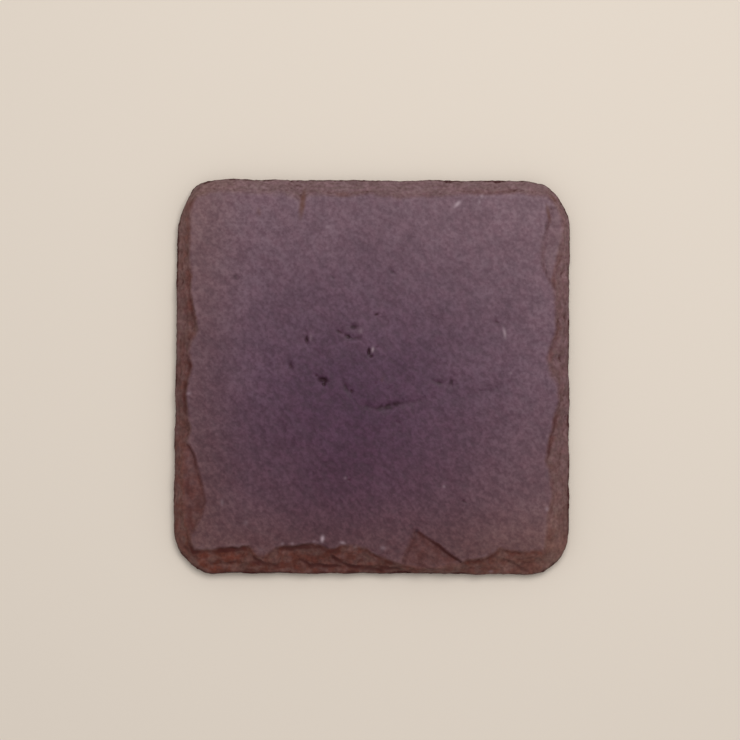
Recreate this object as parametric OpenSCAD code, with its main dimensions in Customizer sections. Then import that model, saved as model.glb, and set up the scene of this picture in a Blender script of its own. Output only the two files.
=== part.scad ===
// Square slate coaster: one tile of split slate with hand-dressed edges, on four self-adhesive foam feet.
// The origin is under the middle of the tile, level with the bottom of the feet. +Z is up and the front
// is -Y.

/* [Slate tile] */
// Side of the square tile, over its widest points
tile_side = 100; // [90:1:110]
// Thickness of the slate
slate_t = 5; // [4:0.5:7]
// How far the dressed outline wanders in from a true square
edge_wander = 1; // [0.5:0.1:1.5]
// Length that each nipped-off corner takes from a side
corner_size = 12; // [9:1:14]

/* [Dressed edge] */
// Usual width of the chipped band, seen from above
band_w = 4; // [3:0.5:5]
// Usual height of the thin rim left under the chip scars
rim_h = 1.2; // [0.8:0.1:1.8]
// Usual radius of the ball-shaped chip scars
scar_r = 14; // [11:1:18]
// Reach of the long flake scar on the left side
left_flake_w = 9; // [6:0.2:11]
// Reach of the pointed flake scar at the front
front_flake_w = 12.6; // [8:0.5:15]
// Reach of the long flake scar on the right side
right_flake_w = 8.2; // [6:0.2:10]
// Depth of a flake scar where it starts on the top face
flake_t = 0.5; // [0.3:0.1:0.8]
// Slope of the flake scars down towards the edge, in degrees
flake_slope = 5; // [2:1:8]

/* [Feet] */
// Diameter of the foam feet
foot_d = 12; // [8:1:16]
// Thickness of the foam
foam_t = 1.8; // [1:0.2:3]
// Thickness of the adhesive disc between foam and slate
adhesive_t = 0.2; // [0.1:0.05:0.4]
// Distance from the sides of the tile to the middle of a foot
foot_inset = 14; // [12:1:24]

/* [Hidden] */

// What the sizes above give
half_side = tile_side / 2;
slate_z = foam_t + adhesive_t;
corner_mid = half_side - corner_size;
foot_place = half_side - foot_inset;

// How far a cut runs past the face that it opens
overrun = 2;

// Facets of a scar's ball and of a round foot
scar_fn = 72;
foot_fn = 96;

// The four sides are written in one way, as seen with the side at the bottom and the tile above it, and are
// then turned a quarter turn each: front, right, back and left. A place along a side is a share of half the
// side, from its left end to its right end in that view.

// Outline of each side: place, and how far the edge stands in, as a share of edge_wander
edge_shares = [
    [[-0.74, 0.5], [-0.66, 0.55], [-0.61, 0.3], [-0.5, 0.55], [-0.4, 0.35], [-0.26, 0.2], [-0.2, 0.5],
     [-0.13, 0.25], [-0.07, 0.5], [0.05, 0.35], [0.17, 0.5], [0.34, 0.3], [0.45, 0.3], [0.53, 0],
     [0.6, 0.25], [0.74, 0.15]],
    [[-0.74, 0.25], [-0.62, 0.1], [-0.56, 0.25], [-0.44, 0.15], [-0.32, 0.3], [-0.2, 0.15], [-0.08, 0],
     [0.03, 0.35], [0.16, 0.2], [0.28, 0.1], [0.4, 0.25], [0.52, 0.2], [0.62, 0], [0.74, 0.05]],
    [[-0.74, 0.6], [-0.68, 0.5], [-0.58, 0.45], [-0.53, 0.65], [-0.4, 0.5], [-0.28, 0.35], [-0.17, 0.6],
     [0, 0.5], [0.1, 0.3], [0.2, 0.4], [0.38, 0.4], [0.5, 0.2], [0.57, 0.4], [0.68, 0], [0.74, 0.1]],
    [[-0.74, 1], [-0.62, 0.9], [-0.46, 0.75], [-0.36, 0.85], [-0.2, 0.75], [-0.08, 0.65], [0.02, 0.5],
     [0.09, 0.32], [0.18, 0.66], [0.26, 0.36], [0.33, 0.2], [0.44, 0.4], [0.56, 0.15], [0.68, 0],
     [0.74, 0.08]]
];

// Outline of the corner that ends each side, nipped off in short bites: distance from the corner's tip
// along the side and in from it, as shares of corner_size
corner_shares = [
    [[0.88, 0], [0.68, 0.02], [0.53, 0.08], [0.39, 0.17], [0.27, 0.27], [0.17, 0.39], [0.1, 0.54],
     [0.05, 0.69], [0.03, 0.86]],
    [[0.86, 0.01], [0.7, 0.07], [0.56, 0.15], [0.43, 0.22], [0.31, 0.31], [0.22, 0.43], [0.12, 0.55],
     [0.09, 0.7], [0.06, 0.86]],
    [[0.86, 0.03], [0.69, 0.06], [0.54, 0.1], [0.42, 0.2], [0.34, 0.34], [0.28, 0.48], [0.22, 0.6],
     [0.17, 0.73], [0.13, 0.86]],
    [[0.86, 0.01], [0.69, 0.05], [0.54, 0.11], [0.41, 0.19], [0.29, 0.29], [0.19, 0.41], [0.11, 0.54],
     [0.04, 0.68], [0.01, 0.84]]
];

// Chip scars of each side: place, and the width of its band, the height of the rim under it and the
// radius of its ball, as shares of band_w, rim_h and scar_r
side_scar_shares = [
    [[-0.84, 1.7, 0.9, 1.1], [-0.73, 1.85, 0.8, 1.1], [-0.63, 2.1, 0.7, 0.6], [-0.53, 1.4, 1.1, 0.8],
     [-0.44, 1.9, 0.8, 0.8], [-0.31, 2.05, 1, 1], [-0.2, 1.8, 0.8, 0.9], [-0.09, 2.1, 0.9, 0.6],
     [0.02, 1.4, 1.2, 0.9], [0.13, 1.1, 0.9, 0.8], [0.25, 1, 0.8, 0.9], [0.38, 1.05, 1, 0.8],
     [0.5, 1.15, 0.9, 1], [0.59, 1.35, 0.8, 0.8], [0.67, 1.9, 0.7, 0.7], [0.76, 1.65, 1, 0.9],
     [0.86, 1.75, 1, 1.1]],
    [[-0.84, 1.7, 1, 1], [-0.74, 1.55, 0.8, 1.1], [-0.62, 1.25, 1, 0.9], [-0.52, 1.3, 0.8, 0.8],
     [-0.41, 1.6, 1.1, 0.7], [-0.31, 1.4, 1, 0.8], [-0.2, 1.05, 0.8, 0.8], [-0.1, 0.8, 1.1, 1],
     [0.06, 1.5, 0.9, 0.6], [0.17, 1.15, 1, 0.8], [0.27, 0.95, 0.8, 1], [0.37, 1.05, 1, 0.8],
     [0.47, 1.25, 0.9, 0.6], [0.57, 0.95, 1.1, 0.9], [0.68, 0.75, 0.9, 0.8], [0.8, 0.75, 0.8, 1]],
    [[-0.82, 1.05, 1, 1], [-0.68, 1.1, 0.8, 1.1], [-0.54, 1.15, 1.2, 0.9], [-0.41, 1.15, 0.9, 0.8],
     [-0.28, 1.2, 1, 0.7], [-0.14, 1.4, 0.8, 0.7], [0, 1.1, 1, 0.9], [0.14, 1.2, 1.1, 0.9],
     [0.26, 1.15, 0.9, 0.8], [0.36, 1.35, 0.8, 0.6], [0.48, 1, 1.1, 0.8], [0.62, 0.95, 0.8, 0.9],
     [0.78, 1.05, 0.9, 1]],
    [[-0.8, 1.25, 0.9, 1], [-0.66, 1.15, 1.1, 1.1], [-0.53, 1.2, 0.8, 0.9], [-0.41, 1.3, 1, 0.8],
     [-0.32, 1.4, 0.8, 0.6], [-0.24, 1.6, 1.2, 0.5], [-0.14, 1.1, 0.9, 0.8], [-0.05, 1.2, 1, 0.6],
     [0.06, 0.9, 0.8, 0.9], [0.16, 1, 1.1, 0.8], [0.27, 1.2, 0.9, 0.8], [0.38, 0.95, 1, 0.8],
     [0.5, 0.85, 1.1, 1], [0.63, 0.85, 0.8, 0.9], [0.75, 0.95, 1, 1], [0.85, 1.25, 0.9, 0.9]]
];

// Chip scars of the corner that ends each side: turn in degrees, and the distance from corner_mid, the
// band, the rim and the ball, as shares of corner_size, band_w, rim_h and scar_r
corner_scar_shares = [
    [[24, 1.01, 1.3, 1, 0.9], [46, 1.03, 1.15, 0.8, 1], [69, 1.01, 1.15, 1.1, 0.9]],
    [[22, 0.99, 0.75, 0.9, 1], [45, 0.98, 0.95, 1.1, 0.8], [68, 0.98, 0.85, 0.8, 1]],
    [[24, 0.98, 0.55, 1, 0.9], [46, 0.93, 0.5, 0.8, 1.1], [70, 0.95, 0.7, 1.1, 0.9]],
    [[21, 1.01, 0.95, 0.8, 1], [44, 1.06, 0.85, 1, 0.9], [67, 1.02, 1, 0.9, 1]]
];

// Outlines of the flake scars on the top face: place along the side, and reach in from it as a share of
// the flake's own reach
left_flake_shares = [[0.3, 0.38], [0.36, 0.6], [0.42, 0.72], [0.48, 0.81], [0.54, 0.91], [0.62, 1],
    [0.7, 0.92], [0.76, 0.76], [0.81, 0.52]];
front_flake_shares = [[0.14, 0.32], [0.16, 0.6], [0.18, 0.8], [0.2, 0.98], [0.24, 0.93], [0.3, 0.77],
    [0.36, 0.63], [0.42, 0.45], [0.475, 0.22]];
right_flake_shares = [[0.44, 0.62], [0.48, 0.8], [0.55, 0.94], [0.61, 0.98], [0.68, 0.93], [0.75, 0.82],
    [0.81, 0.76], [0.87, 0.8]];

// A point given in one side's view, as it lies on the tile
function turned(p, side) =
    side == 0 ? p :
    side == 1 ? [-p[1], p[0]] :
    side == 2 ? [-p[0], -p[1]] :
    [p[1], -p[0]];

// The outline of one side and of the corner that ends it
function side_points(side) = concat(
    [for (s = edge_shares[side])
        turned([s[0] * half_side, s[1] * edge_wander - half_side], side)],
    [for (s = corner_shares[side])
        turned([half_side - s[0] * corner_size, s[1] * corner_size - half_side], side)]
);

// Everything below a side's view is drawn with the slate's own bottom at zero height

// The ball of one chip scar: it meets the top face band in from the edge, and the edge at height rim
module scar(band, rim, ball_r) {
    rise = slate_t - rim;
    chord = sqrt(band * band + rise * rise);
    reach = sqrt(ball_r * ball_r - chord * chord / 4);
    translate([0, band / 2 - reach * rise / chord, slate_t - rise / 2 + reach * band / chord])
        sphere(r = ball_r, $fn = scar_fn);
}

// The chip scars of one side and of the corner that ends it
module scars(side) {
    for (s = side_scar_shares[side])
        translate([s[0] * half_side, -half_side, 0])
            scar(s[1] * band_w, s[2] * rim_h, s[3] * scar_r);
    for (s = corner_scar_shares[side])
        translate([corner_mid, -corner_mid, 0])
            rotate([0, 0, s[0]])
                translate([0, -s[1] * corner_size, 0])
                    scar(s[2] * band_w, s[3] * rim_h, s[4] * scar_r);
}

// A flake scar: a thin shelf that starts flake_t under the top face and slopes down to the edge
module flake(shares, flake_w) {
    first = shares[0];
    last = shares[len(shares) - 1];
    points = concat(
        [[first[0] * half_side, -overrun]],
        [for (s = shares) [s[0] * half_side, s[1] * flake_w]],
        [[last[0] * half_side, -overrun]]
    );
    translate([0, flake_w - half_side, slate_t - flake_t])
        rotate([flake_slope, 0, 0])
            translate([0, -flake_w, 0])
                linear_extrude(height = flake_t + (flake_w + overrun) * sin(flake_slope) + overrun)
                    polygon(points);
}

module slate_tile() {
    color([0.37, 0.28, 0.32])
        translate([0, 0, slate_z])
            difference() {
                linear_extrude(height = slate_t)
                    polygon([for (side = [0:3]) each side_points(side)]);
                for (side = [0:3])
                    rotate([0, 0, 90 * side])
                        scars(side);
                flake(front_flake_shares, front_flake_w);
                rotate([0, 0, 90])
                    flake(right_flake_shares, right_flake_w);
                rotate([0, 0, 270])
                    flake(left_flake_shares, left_flake_w);
            }
}

// One adhesive disc: right is 1 or -1, back is 1 or -1
module adhesive_disc(right, back) {
    color([0.86, 0.85, 0.8])
        translate([right * foot_place, back * foot_place, foam_t])
            cylinder(h = adhesive_t, d = foot_d, $fn = foot_fn);
}

// One foam foot under its adhesive disc
module foam_foot(right, back) {
    color([0.09, 0.09, 0.1])
        translate([right * foot_place, back * foot_place, 0])
            cylinder(h = foam_t, d = foot_d, $fn = foot_fn);
}

slate_tile();
adhesive_disc(-1, -1);  // adhesive_front_left
adhesive_disc(1, -1);  // adhesive_front_right
adhesive_disc(-1, 1);  // adhesive_back_left
adhesive_disc(1, 1);  // adhesive_back_right
foam_foot(-1, -1);  // foot_front_left
foam_foot(1, -1);  // foot_front_right
foam_foot(-1, 1);  // foot_back_left
foam_foot(1, 1);  // foot_back_right
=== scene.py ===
import math

import bmesh
import bpy
import numpy as np
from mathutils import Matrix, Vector


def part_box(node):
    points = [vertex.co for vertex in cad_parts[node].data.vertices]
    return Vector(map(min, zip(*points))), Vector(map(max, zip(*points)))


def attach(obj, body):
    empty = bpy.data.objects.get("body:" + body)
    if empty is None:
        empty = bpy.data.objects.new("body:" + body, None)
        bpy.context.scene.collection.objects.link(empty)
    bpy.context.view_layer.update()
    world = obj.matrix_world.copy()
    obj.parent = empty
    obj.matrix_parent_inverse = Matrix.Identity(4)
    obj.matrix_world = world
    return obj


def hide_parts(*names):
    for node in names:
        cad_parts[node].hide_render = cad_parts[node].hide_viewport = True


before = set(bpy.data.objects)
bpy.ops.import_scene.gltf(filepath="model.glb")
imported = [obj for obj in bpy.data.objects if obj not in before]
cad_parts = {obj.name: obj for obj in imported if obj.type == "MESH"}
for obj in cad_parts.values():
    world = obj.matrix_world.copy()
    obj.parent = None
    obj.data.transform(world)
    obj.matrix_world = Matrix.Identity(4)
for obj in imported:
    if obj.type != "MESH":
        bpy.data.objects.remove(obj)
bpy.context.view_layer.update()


# The slate tile: one piece of stone split off a block along its cleavage and sawn to a rough square.
# Its top is the natural riven face. The edges are dressed by hand: chipped back from the top face all
# round, which leaves a sloping band of scars and ledges above a low rim, and three thin flake scars.

# Lengths are in millimetres, but for those of the floor, the light and the camera. Places on the tile
# count from its middle, and depths go down from its top.
MM = 0.001
slate_low, slate_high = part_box("slate_tile")
HALF_SIDE = (slate_high.x - slate_low.x) / 2 / MM
SLATE_T = (slate_high.z - slate_low.z) / MM
EDGE_WANDER = 1.0
CORNER_SIZE = 12.0
BAND_W = 4.0
BAND_CURVE = 1.15
RIM_H = 1.2
FLAKE_T = 0.5
FLAKE_SLOPE = math.radians(5)

# A length or a share that counts as nothing
TINY = 1e-9

# Every side is written as seen with the side at the bottom and the tile above it, in the order front,
# right, back and left. A place along a side is a share of half the side.

# Outline of each side: place, and how far the edge stands in, as a share of EDGE_WANDER
EDGE_SHARES = (
    ((-0.74, 0.5), (-0.66, 0.55), (-0.61, 0.3), (-0.5, 0.55), (-0.4, 0.35), (-0.26, 0.2), (-0.2, 0.5),
     (-0.13, 0.25), (-0.07, 0.5), (0.05, 0.35), (0.17, 0.5), (0.34, 0.3), (0.45, 0.3), (0.53, 0),
     (0.6, 0.25), (0.74, 0.15)),
    ((-0.74, 0.25), (-0.62, 0.1), (-0.56, 0.25), (-0.44, 0.15), (-0.32, 0.3), (-0.2, 0.15), (-0.08, 0),
     (0.03, 0.35), (0.16, 0.2), (0.28, 0.1), (0.4, 0.25), (0.52, 0.2), (0.62, 0), (0.74, 0.05)),
    ((-0.74, 0.6), (-0.68, 0.5), (-0.58, 0.45), (-0.53, 0.65), (-0.4, 0.5), (-0.28, 0.35), (-0.17, 0.6),
     (0, 0.5), (0.1, 0.3), (0.2, 0.4), (0.38, 0.4), (0.5, 0.2), (0.57, 0.4), (0.68, 0), (0.74, 0.1)),
    ((-0.74, 1), (-0.62, 0.9), (-0.46, 0.75), (-0.36, 0.85), (-0.2, 0.75), (-0.08, 0.65), (0.02, 0.5),
     (0.09, 0.32), (0.18, 0.66), (0.26, 0.36), (0.33, 0.2), (0.44, 0.4), (0.56, 0.15), (0.68, 0),
     (0.74, 0.08)),
)

# Outline of the corner that ends each side: distance from the corner's tip along the side and in from
# it, as shares of CORNER_SIZE
CORNER_SHARES = (
    ((0.88, 0), (0.68, 0.02), (0.53, 0.08), (0.39, 0.17), (0.27, 0.27), (0.17, 0.39), (0.1, 0.54),
     (0.05, 0.69), (0.03, 0.86)),
    ((0.86, 0.01), (0.7, 0.07), (0.56, 0.15), (0.43, 0.22), (0.31, 0.31), (0.22, 0.43), (0.12, 0.55),
     (0.09, 0.7), (0.06, 0.86)),
    ((0.86, 0.03), (0.69, 0.06), (0.54, 0.1), (0.42, 0.2), (0.34, 0.34), (0.28, 0.48), (0.22, 0.6),
     (0.17, 0.73), (0.13, 0.86)),
    ((0.86, 0.01), (0.69, 0.05), (0.54, 0.11), (0.41, 0.19), (0.29, 0.29), (0.19, 0.41), (0.11, 0.54),
     (0.04, 0.68), (0.01, 0.84)),
)

# Lip of the dressed edge on each side, where the riven face stops: place, distance in from the side as a
# share of BAND_W, and how crisp it is
LIP_SHARES = (
    ((-0.88, 1.63, 0.9), (-0.8, 1.68, 0.9), (-0.74, 1.78, 1), (-0.68, 1.9, 1), (-0.62, 1.98, 0.9),
     (-0.6, 1.68, 0.6), (-0.58, 1.32, 0.3), (-0.55, 1.2, 0.2), (-0.52, 1.38, 0.2), (-0.48, 1.76, 0.6),
     (-0.4, 1.88, 0.9), (-0.34, 1.96, 1), (-0.3, 2.02, 1), (-0.26, 1.96, 1), (-0.22, 1.8, 1),
     (-0.18, 1.84, 0.8), (-0.14, 2.02, 0.6), (-0.1, 2.07, 0.5), (-0.06, 1.95, 0.5), (-0.02, 1.76, 0.6),
     (0, 1.42, 0.8), (0.04, 1.28, 0.9), (0.08, 1.16, 0.8), (0.13, 0.85, 0.6), (0.2, 0.65, 0.4),
     (0.3, 0.62, 0.4), (0.42, 0.8, 0.4), (0.48, 1.08, 0.7), (0.56, 1.12, 0.8), (0.6, 1.38, 0.7),
     (0.64, 1.76, 0.6), (0.66, 1.82, 0.6), (0.7, 1.66, 0.6), (0.74, 1.6, 0.7), (0.8, 1.62, 0.7),
     (0.84, 1.7, 0.6)),
    ((-0.86, 1.75, 0.6), (-0.8, 1.62, 0.6), (-0.72, 1.5, 0.5), (-0.65, 1.32, 0.3), (-0.6, 1.17, 0.3),
     (-0.54, 1.25, 0.3), (-0.48, 1.35, 0.3), (-0.42, 1.56, 0.6), (-0.35, 1.5, 0.7), (-0.27, 1.25, 0.7),
     (-0.2, 1.05, 0.6), (-0.12, 0.75, 0.4), (-0.05, 0.85, 0.4), (0, 1.35, 0.3), (0.08, 1.5, 0.5),
     (0.13, 1.4, 0.6), (0.19, 1.1, 0.6), (0.24, 0.95, 0.6), (0.33, 0.98, 0.4), (0.42, 1.1, 0.5),
     (0.49, 1.24, 0.6), (0.54, 1.1, 0.5), (0.6, 0.97, 0.5), (0.68, 0.78, 0.3), (0.78, 0.75, 0.3),
     (0.86, 1.05, 0.3), (0.9, 1.45, 0.3)),
    ((-0.86, 1.2, 0.3), (-0.76, 1, 0.4), (-0.66, 1.08, 0.5), (-0.55, 1.15, 0.5), (-0.45, 1.1, 0.3),
     (-0.36, 1.16, 0.2), (-0.25, 1.2, 0.4), (-0.14, 1.42, 0.3), (-0.08, 1.3, 0.3), (0, 1.05, 0.3),
     (0.08, 1.16, 0.4), (0.15, 1.22, 0.3), (0.24, 1.15, 0.3), (0.33, 1.25, 0.3), (0.36, 1.4, 0.3),
     (0.4, 1.15, 0.2), (0.46, 0.95, 0.1), (0.54, 1.05, 0.1), (0.64, 0.95, 0.1), (0.74, 1, 0.1),
     (0.82, 1, 0.2), (0.88, 1.25, 0.4)),
    ((-0.86, 1.3, 0.5), (-0.8, 1.25, 0.5), (-0.72, 1.17, 0.6), (-0.6, 1.07, 0.6), (-0.54, 1.15, 0.6),
     (-0.48, 1.25, 0.7), (-0.42, 1.28, 0.7), (-0.38, 1.32, 0.8), (-0.32, 1.4, 0.7), (-0.26, 1.55, 0.5),
     (-0.24, 1.6, 0.4), (-0.2, 1.4, 0.5), (-0.14, 1.08, 0.6), (-0.1, 1.1, 0.7), (-0.06, 1.2, 0.8),
     (-0.02, 1.14, 0.8), (0.02, 1, 0.8), (0.08, 0.9, 0.8), (0.14, 0.92, 0.8), (0.2, 1.1, 0.7),
     (0.27, 1.2, 0.7), (0.32, 1, 0.4), (0.4, 0.85, 0.1), (0.6, 0.85, 0.1), (0.7, 0.9, 0.1),
     (0.78, 1.1, 0.4), (0.84, 1.22, 0.8), (0.87, 1.35, 0.9)),
)

# The wall under the lip: its drop, and its width where the lip is crisp and where it has faded
LIP_DROP = 0.7
CRISP_WALL = 0.7
FADED_WALL = 2.4

# How brown the broken stone is, partly rust and partly painted warm bounce light, at the start and at the
# end of each side, and how dark the painted shade along its rim is there.
# A reach is where a tint starts to fade, from the lip or from the edge, and where it is gone.
BROWN_SHARES = ((1.1, 0.55), (0.32, 0.22), (0.06, 0.06), (0.42, 0.65))
BROWN_REACH = (0.6, 2.4)
RIM_SHADES = ((1, 0.1), (0.6, 0.4), (0.2, 0.2), (0.4, 0.4))
RIM_REACH = (0.2, 1.1)

# The edge rolls over into the rim, this wide and this deep, and the rim keeps at least this height
ROLL_W = 0.8
ROLL_DROP = 0.5
LEAST_RIM = 0.5

# The painted shade in the crease under a lip, and the pale arris worn along its top: how far off, how wide
# and how strong
CREASE = (0.5, 0.7, 0.95)
ARRIS = (-0.4, 0.4, 0.13)

# Ledges within the dressed edge, where one chip cut into the one before: side, drop, how dark the painted
# shade in its crease is, and its line as places and shares of BAND_W
LEDGES = (
    (0, 0.5, 0.8, ((-0.38, 1.7), (-0.36, 1.2), (-0.31, 0.84), (-0.25, 0.86), (-0.18, 0.85), (-0.12, 0.68))),
    (0, 0.6, 1, ((-0.22, 1.7), (-0.17, 1.32), (-0.12, 0.88), (-0.08, 0.72), (0, 0.62), (0.08, 0.45))),
    (0, 0.4, 0.8, ((0, 0.9), (0.06, 0.72), (0.12, 0.6), (0.18, 0.4))),
    (0, 0.4, 0.6, ((0.2, 0.95), (0.25, 0.88), (0.3, 0.68), (0.34, 0.35))),
    (0, 0.4, 0.5, ((-0.86, 1.1), (-0.78, 0.95), (-0.7, 1), (-0.64, 1.15))),
    (0, 0.5, 0.8, ((-0.62, 1.5), (-0.57, 1.1), (-0.52, 0.85), (-0.44, 0.6))),
    (0, 0.35, 0.35, ((0.46, 0.75), (0.52, 0.6), (0.58, 0.65), (0.62, 0.4))),
    (0, 0.5, 0.4, ((0.64, 1.3), (0.68, 1.15), (0.73, 0.85), (0.78, 0.5), (0.81, 0.3))),
    (0, 0.4, 0.3, ((0.66, 1.6), (0.72, 1.35), (0.78, 1), (0.84, 0.55))),
    (1, 0.35, 0.15, ((-0.84, 0.8), (-0.6, 0.5), (-0.45, 0.85), (-0.3, 0.65), (-0.15, 0.3))),
    (1, 0.3, 0.25, ((0.02, 0.7), (0.1, 0.85), (0.2, 0.5), (0.35, 0.45), (0.5, 0.7), (0.6, 0.35))),
    (2, 0.15, 0.05, ((0.25, 0.35), (0.4, 0.6), (0.55, 0.5), (0.7, 0.4))),
    (2, 0.15, 0.05, ((-0.7, 0.35), (-0.5, 0.45), (-0.3, 0.3))),
    (3, 0.4, 0.4, ((-0.66, 0.6), (-0.5, 0.75), (-0.4, 0.9), (-0.3, 1.05), (-0.22, 0.8), (-0.14, 0.6))),
    (3, 0.3, 0.3, ((-0.1, 0.6), (0.05, 0.55), (0.2, 0.6), (0.3, 0.5))),
    (3, 0.4, 0.4, ((0.46, 1.1), (0.54, 1.2), (0.62, 1.05), (0.66, 0.8))),
    (3, 0.4, 0.4, ((0.6, 1.7), (0.65, 1.35), (0.72, 1.3), (0.78, 0.9))),
)

# How far out a ledge's drop fades, and how long it takes to run out at its ends
LEDGE_FADE = 1.6
LEDGE_ENDS = 2.0

# Flake scars: side, reach in from it, how far its floor broke brown, partly rust and partly painted bounce
# light, and its outline: place, share of the reach, and how crisp the scarp is there
FLAKES = (
    (0, 12.6, 0.62, ((0.14, 0.32, 0.4), (0.16, 0.6, 0.3), (0.18, 0.8, 0.2), (0.2, 0.98, 0.4),
                     (0.24, 0.91, 1), (0.3, 0.75, 1), (0.35, 0.64, 1), (0.4, 0.47, 1), (0.45, 0.33, 1),
                     (0.475, 0.2, 0.8))),
    (1, 8.2, 0.1, ((0.44, 0.62, 0.4), (0.48, 0.8, 0.6), (0.55, 0.94, 0.7), (0.61, 0.98, 0.5),
                   (0.68, 0.93, 0.5), (0.75, 0.82, 0.8), (0.81, 0.76, 0.6), (0.87, 0.8, 0.3))),
    (3, 9.0, 0.7, ((0.3, 0.38, 0.9), (0.36, 0.6, 0.9), (0.42, 0.72, 0.8), (0.48, 0.81, 0.75),
                   (0.54, 0.91, 0.75), (0.62, 1, 0.8), (0.7, 0.92, 0.5), (0.76, 0.76, 0.3),
                   (0.81, 0.52, 0.3))),
)

# The outline's ends splay a little and run out over the edge, and the painted shade in the scarp's crease is
# paler than a lip's
FLAKE_SPLAY = 0.1
FLAKE_OVERRUN = 1.0
FLAKE_CREASE = 0.8

# Pits in the riven face: place, radii along and across, turn in degrees, and depth
PITS = (
    (-12.2, -0.8, 1.4, 0.7, -8, 0.65), (-12, -1.8, 0.5, 0.7, 20, 0.4), (-14, 0.2, 0.6, 0.35, -30, 0.2),
    (-0.7, 6.3, 0.4, 1, 0, 0.5), (-0.1, 5.1, 0.6, 0.4, 0, 0.3), (1.5, 7.4, 0.3, 0.3, 0, 0.15),
    (-16.3, 9.3, 0.5, 1.3, -5, 0.36), (-7.9, 11.3, 1.1, 0.5, -25, 0.27), (-6, 10.1, 1.1, 0.55, -30, 0.32),
    (-4, 9.7, 1.6, 0.7, 10, 0.28), (-4.6, 12.5, 1.3, 0.8, -15, 0.26), (1.3, 15.5, 0.7, 0.4, 20, 0.26),
    (-20.4, 2.7, 0.6, 1, 10, 0.33), (-5.1, -3.7, 0.5, 0.8, 0, 0.28), (-6.2, -2.9, 0.6, 2.2, 27, 0.2),
    (5.2, 26.2, 1.5, 0.6, -40, 0.12), (-9.8, 25.1, 1.2, 0.6, -30, 0.12), (31.2, 13.6, 0.9, 0.4, -50, 0.18),
    (16.7, -1.4, 1.8, 0.6, -15, 0.2), (20, -1.4, 0.7, 1.4, 0, 0.26), (28, -3.4, 1.9, 0.35, 5, 0.12),
    (0.9, -1.5, 0.5, 0.4, 0, 0.14), (4.5, -2.7, 0.4, 1, -40, 0.12), (-34.2, 25, 1.6, 1, -30, 0.16),
    (-36.8, 24.2, 1, 0.8, 0, 0.08), (-32.3, 21.6, 1.2, 0.5, 15, 0.1), (6.7, -11.6, 1.2, 0.4, -25, 0.12),
    (23.1, -31.2, 0.9, 0.5, -20, 0.22), (-5.7, -25.8, 0.5, 0.4, 0, 0.18), (11.2, -38.6, 0.8, 0.7, 0, 0.2),
    (43.5, 38, 0.5, 0.9, 0, 0.14), (43.7, 26.4, 0.5, 1, 0, 0.14),
)

# How steep the sides of a pit are, and the depths between which it turns dark with painted shade
PIT_STEEPNESS = 1.4
PIT_DARK_FROM = (0.01, 0.34)

# The shallow crack across the middle, and how open it is at each of its points
CRACK = ((-1.3, -7.4, 0.4), (1.3, -8.1, 0.5), (3, -7.5, 1), (5.6, -7.2, 1), (7.4, -6.7, 0.5),
         (10.5, -6.2, 0.4), (14, -5.6, 0.2), (20, -4.8, 0.1), (27, -4.2, 0.2), (35, -2.2, 0.1))
CRACK_W = 0.85
CRACK_DEPTH = 0.3

# Pale bruises left by the hammer, which stand up a little: place, radii, turn and how pale
BRUISES = (
    (-12.4, -40.6, 0.45, 0.85, -10, 1), (-7.2, -41.5, 0.75, 0.4, -10, 0.6), (-22.3, -42, 0.5, 0.5, 0, 0.3),
    (-19.8, -41.8, 0.5, 0.45, 0, 0.3), (-14.4, -41.3, 0.5, 0.4, 0, 0.3), (-4.1, -42.5, 0.6, 0.4, 0, 0.2),
    (21.6, 43.2, 1.05, 0.45, 42, 1), (27.6, 45.1, 0.45, 0.45, 0, 0.5), (34.7, 44.6, 0.4, 0.4, 0, 0.3),
    (33.2, 10.9, 0.4, 1.3, 10, 0.65), (0.3, 6.7, 0.35, 0.7, -10, 0.7), (44, -33.2, 0.5, 0.6, 0, 0.45),
    (-45.7, -4.2, 0.7, 0.45, 0, 0.4), (18.1, -27.4, 0.35, 0.35, 0, 0.4), (-37.4, -31.6, 0.4, 0.9, 0, 0.2),
    (-11.1, 37.4, 0.5, 0.4, 20, 0.35), (-6.6, -25.4, 0.4, 0.35, 0, 0.25), (26.9, 43.8, 0.4, 0.6, 0, 0.4),
    (2.9, -42.8, 0.8, 0.6, 0, 0.3), (-31.5, -36.4, 0.6, 0.6, 0, 0.15), (-27.7, -43.4, 0.8, 0.6, 0, 0.08),
    (30, -48.8, 0.6, 0.35, 0, 0.35), (34.9, 0.9, 0.35, 0.35, 0, 0.25),
    (-15.3, 9.9, 0.35, 1, 0, 0.2), (-2.8, 11.4, 0.6, 0.7, 0, 0.25),
)
BRUISE_H = 0.06
BRUISE_STEEPNESS = 1.2

# Rust-brown stains: place, radii, turn and how brown. They fade in between two shares of their radii.
STAINS = (
    (-17.3, 43.4, 0.8, 3.8, -8, 1), (44.2, 41, 0.5, 2.4, 10, 0.8), (-28.2, 41.3, 0.6, 1.2, 10, 0.4),
    (42.7, 31, 0.8, 5, 0, 0.22), (2.6, -0.6, 0.3, 1.2, -20, 0.25), (-7.1, 45.6, 2.2, 0.8, 0, 0.5),
    (45.5, 44.8, 1.4, 0.5, -40, 0.6),
)
STAIN_SHARES = (1.4, 0.2)
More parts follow.
